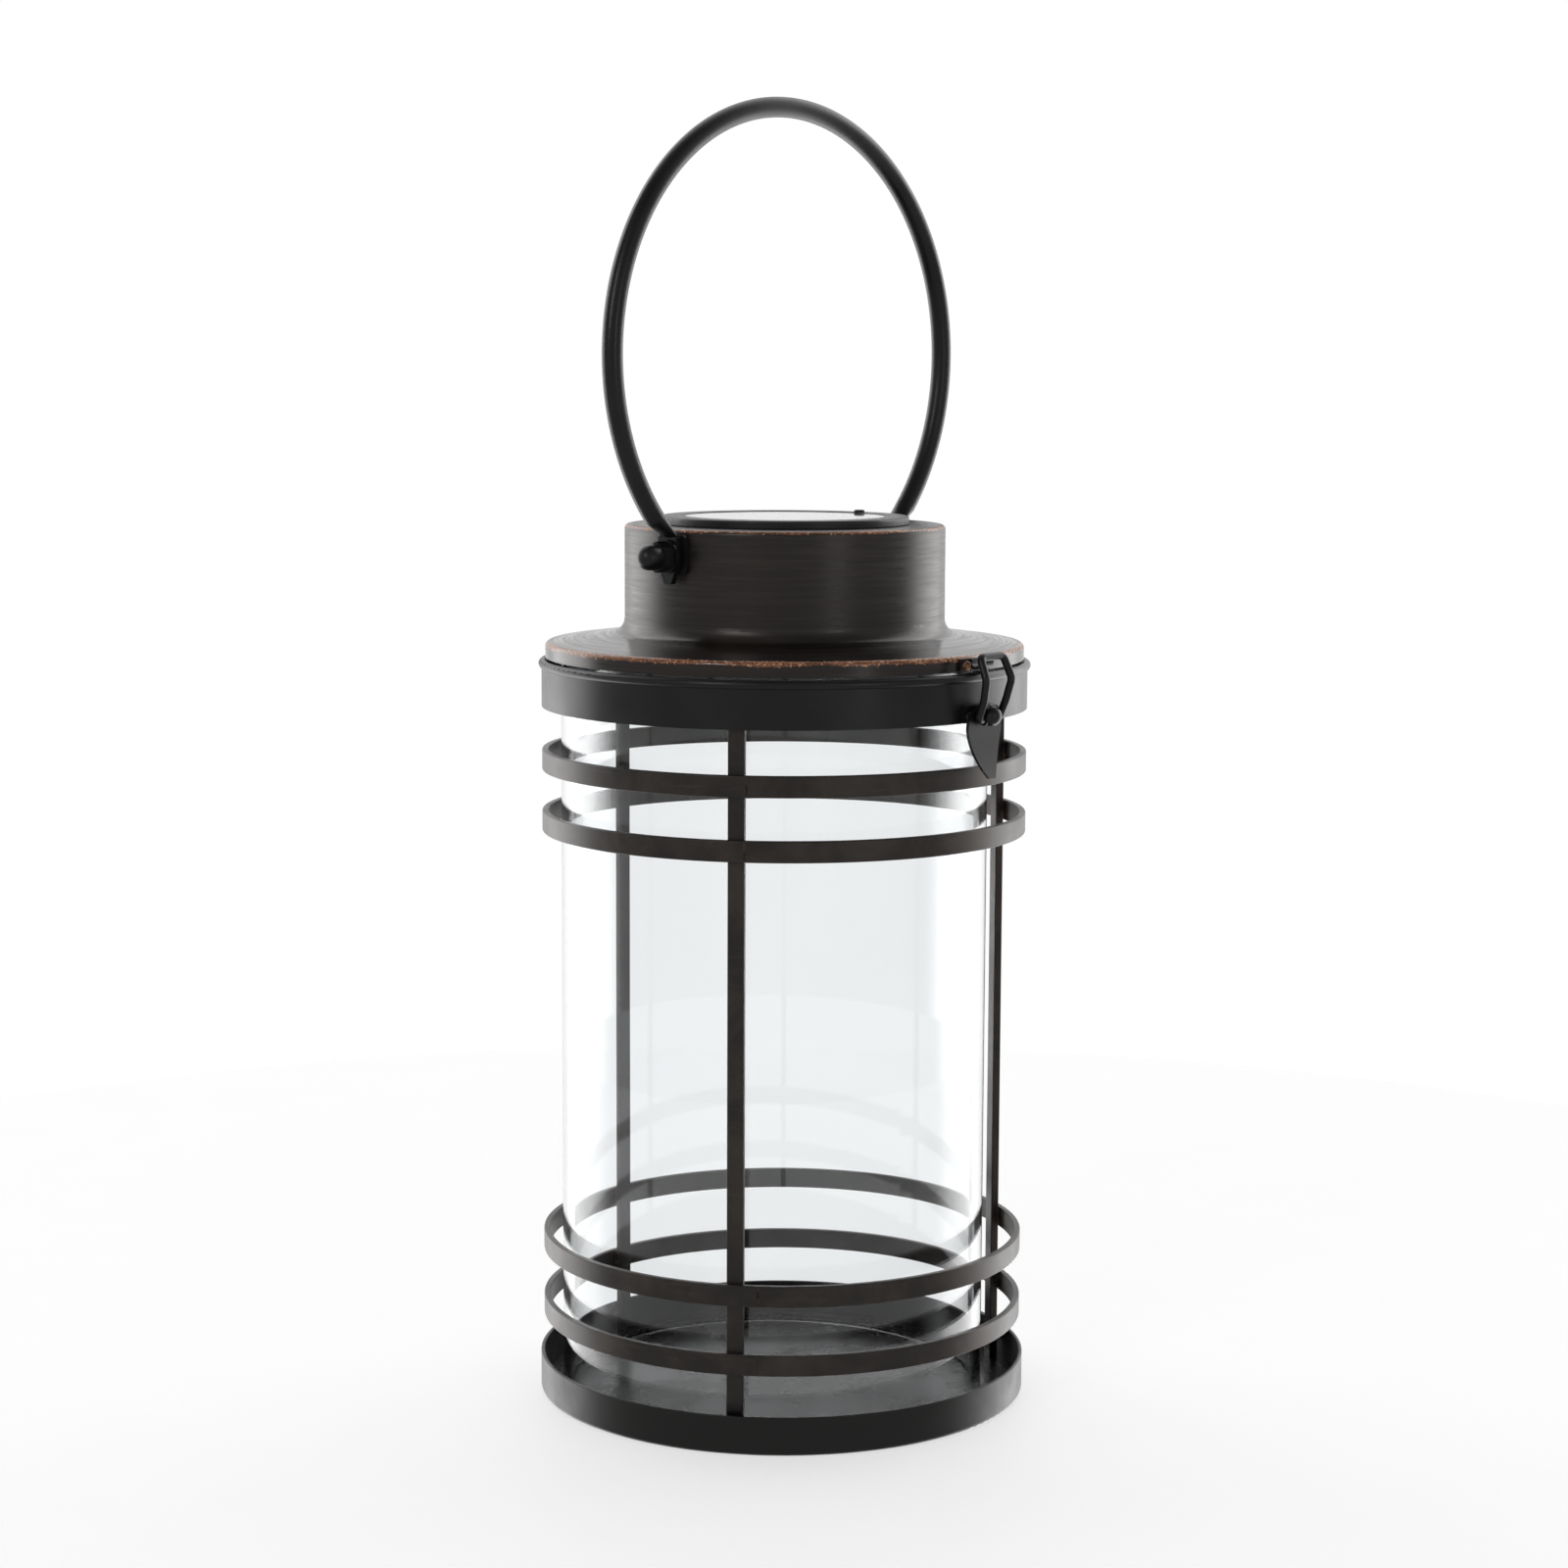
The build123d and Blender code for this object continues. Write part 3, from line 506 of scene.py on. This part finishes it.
def curved_plate(mesh_data, radius, thickness, low_z, high_z, start_degrees, end_degrees):
    """A thin plate bent round the lantern's axis, closed on every side."""
    steps = 10
    sections = []
    for index in range(steps + 1):
        angle = math.radians(start_degrees + (end_degrees - start_degrees) * index / steps)
        out = Vector((math.cos(angle), math.sin(angle), 0))
        outer = radius + thickness
        corners = ((radius, low_z), (outer, low_z), (outer, high_z), (radius, high_z))
        sections.append([mesh_data.verts.new(out * r + UP * z) for r, z in corners])
    for first, second in zip(sections, sections[1:]):
        for corner in range(4):
            following = (corner + 1) % 4
            near, far = (first[corner], second[corner]), (second[following], first[following])
            mesh_data.faces.new(near + far)
    mesh_data.faces.new(sections[0])
    mesh_data.faces.new(sections[-1][::-1])


def joint_plates(paints):
    """The flattened ends of the two lower rings, which overlap at the left upright."""
    data = bmesh.new()
    for number in (3, 4):
        low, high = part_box(f"cage_ring_{number}")
        edge = 0.45 * MM
        heights = (low.z + edge, high.z - edge)
        curved_plate(data, high.x - 0.1 * MM, 0.28 * MM, *heights, -153.2, -144.6)
    bmesh.ops.recalc_face_normals(data, faces=data.faces)
    return mesh_object("joint_plates", data, paints["aged_metal"].material, "body")


# ---------------------------------------------------------------- stage, light and camera


def view_axes():
    """Right, up and forward of the camera, as unit vectors."""
    toward = Vector((math.sin(VIEW_AZIMUTH), -math.cos(VIEW_AZIMUTH), 0))
    away = -toward
    right = away.cross(UP)
    forward = away * math.cos(CAMERA_PITCH) - UP * math.sin(CAMERA_PITCH)
    upward = right.cross(forward)
    rolled_right = right * math.cos(CAMERA_ROLL) + upward * math.sin(CAMERA_ROLL)
    rolled_up = upward * math.cos(CAMERA_ROLL) - right * math.sin(CAMERA_ROLL)
    return toward, rolled_right, rolled_up, forward


def add_camera():
    toward, right, upward, forward = view_axes()
    data = bpy.data.cameras.new("camera")
    data.lens = CAMERA_LENS
    data.sensor_width = SENSOR
    data.sensor_fit = "HORIZONTAL"
    camera = bpy.data.objects.new("camera", data)
    place = toward * CAMERA_DISTANCE + UP * CAMERA_HEIGHT
    turn = Matrix((right, upward, -forward)).transposed().to_4x4()
    camera.matrix_world = Matrix.Translation(place) @ turn
    bpy.context.scene.collection.objects.link(camera)
    bpy.context.scene.camera = camera


def add_softbox(name, place, target, width, height, watts):
    data = bpy.data.lights.new(name, "AREA")
    data.shape = "RECTANGLE"
    data.size = width
    data.size_y = height
    data.energy = watts
    light = bpy.data.objects.new(name, data)
    light.location = place
    light.rotation_euler = (target - place).to_track_quat("-Z", "Y").to_euler()
    bpy.context.scene.collection.objects.link(light)
    return light


def add_world():
    """A white studio. Round the lantern from the camera's side, the light it gets is dim in front,
    strong from two tall panels beside and behind it, and even from the backdrop. Overhead, all
    of it falls off."""
    world = bpy.data.worlds.new("studio")
    world.use_nodes = True
    tree = world.node_tree
    tree.nodes.clear()
    output = tree.nodes.new("ShaderNodeOutputWorld")
    lit = tree.nodes.new("ShaderNodeBackground")
    seen = tree.nodes.new("ShaderNodeBackground")
    choose = tree.nodes.new("ShaderNodeMixShader")
    path = tree.nodes.new("ShaderNodeLightPath")
    direction = tree.nodes.new("ShaderNodeTexCoord")
    dot = tree.nodes.new("ShaderNodeVectorMath")
    half = tree.nodes.new("ShaderNodeMath")
    ramp = tree.nodes.new("ShaderNodeValToRGB")
    apart = tree.nodes.new("ShaderNodeSeparateXYZ")
    overhead = tree.nodes.new("ShaderNodeMapRange")
    falling = (0.3, 0.85, STUDIO_PEAK, STUDIO_PEAK * 0.4)
    for socket, value in zip(list(overhead.inputs)[1:5], falling):
        socket.default_value = value
    dot.operation = "DOT_PRODUCT"
    dot.inputs[1].default_value = -view_axes()[0]
    half.operation = "MULTIPLY_ADD"
    half.inputs[1].default_value = 0.5
    half.inputs[2].default_value = 0.5
    ramp.color_ramp.interpolation = "EASE"
    stops = ramp.color_ramp.elements
    for degrees, radiance in STUDIO_LIGHT:
        place = (1 - math.cos(math.radians(degrees))) / 2
        share = radiance / STUDIO_PEAK
        stop = stops.new(place)
        stop.color = colour(share, share, share)
    stops.remove(stops[0])
    stops.remove(stops[-1])
    seen.inputs["Color"].default_value = colour(1, 1, 1)
    seen.inputs["Strength"].default_value = 1.0
    link = tree.links.new
    link(direction.outputs["Generated"], dot.inputs[0])
    link(dot.outputs["Value"], half.inputs[0])
    link(half.outputs[0], ramp.inputs[0])
    link(ramp.outputs[0], lit.inputs["Color"])
    link(direction.outputs["Generated"], apart.inputs[0])
    link(apart.outputs[2], overhead.inputs[0])
    link(overhead.outputs[0], lit.inputs["Strength"])
    link(path.outputs["Is Camera Ray"], choose.inputs[0])
    link(lit.outputs[0], choose.inputs[1])
    link(seen.outputs[0], choose.inputs[2])
    link(choose.outputs[0], output.inputs["Surface"])
    bpy.context.scene.world = world


def add_floor():
    data = bmesh.new()
    bmesh.ops.create_circle(data, cap_ends=True, segments=96, radius=0.53)
    mesh = bpy.data.meshes.new("floor")
    data.to_mesh(mesh)
    data.free()
    floor = bpy.data.objects.new("floor", mesh)
    floor.location.z = base_low.z - 0.0002
    bpy.context.scene.collection.objects.link(floor)
    paint = Paint("floor", Roughness=0.6)
    grain = paint.noise(paint.place(), 30.0, 3.0, 0.5)
    paint.set("Base Color", paint.mix(grain, colour(0.3, 0.3, 0.3), colour(0.33, 0.33, 0.33)))
    paint.set("Emission Color", colour(1, 1, 1))
    paint.set("Emission Strength", 0.67)
    mesh.materials.append(paint.material)
    floor.visible_glossy = False


def add_light():
    toward, right, _, _ = view_axes()
    middle = Vector((0, 0, 0.18))
    add_softbox("key", toward * 1.3 + right * -0.9 + UP * 1.0, middle, 0.35, 0.7, 3.0)
    add_softbox("fill", toward * 1.5 + right * 1.1 + UP * 0.5, middle, 0.3, 0.8, 1.2)


# ---------------------------------------------------------------- build


def build():
    paints = build_paints()
    paints["weld_metal"] = weld_metal()
    dress_frame(paints)
    weld_beads(paints)
    ring_seams(paints)
    joint_plates(paints)
    add_floor()
    add_world()
    add_light()
    add_camera()
    scene = bpy.context.scene
    scene.view_settings.view_transform = "Standard"
    scene.view_settings.look = "None"


build()
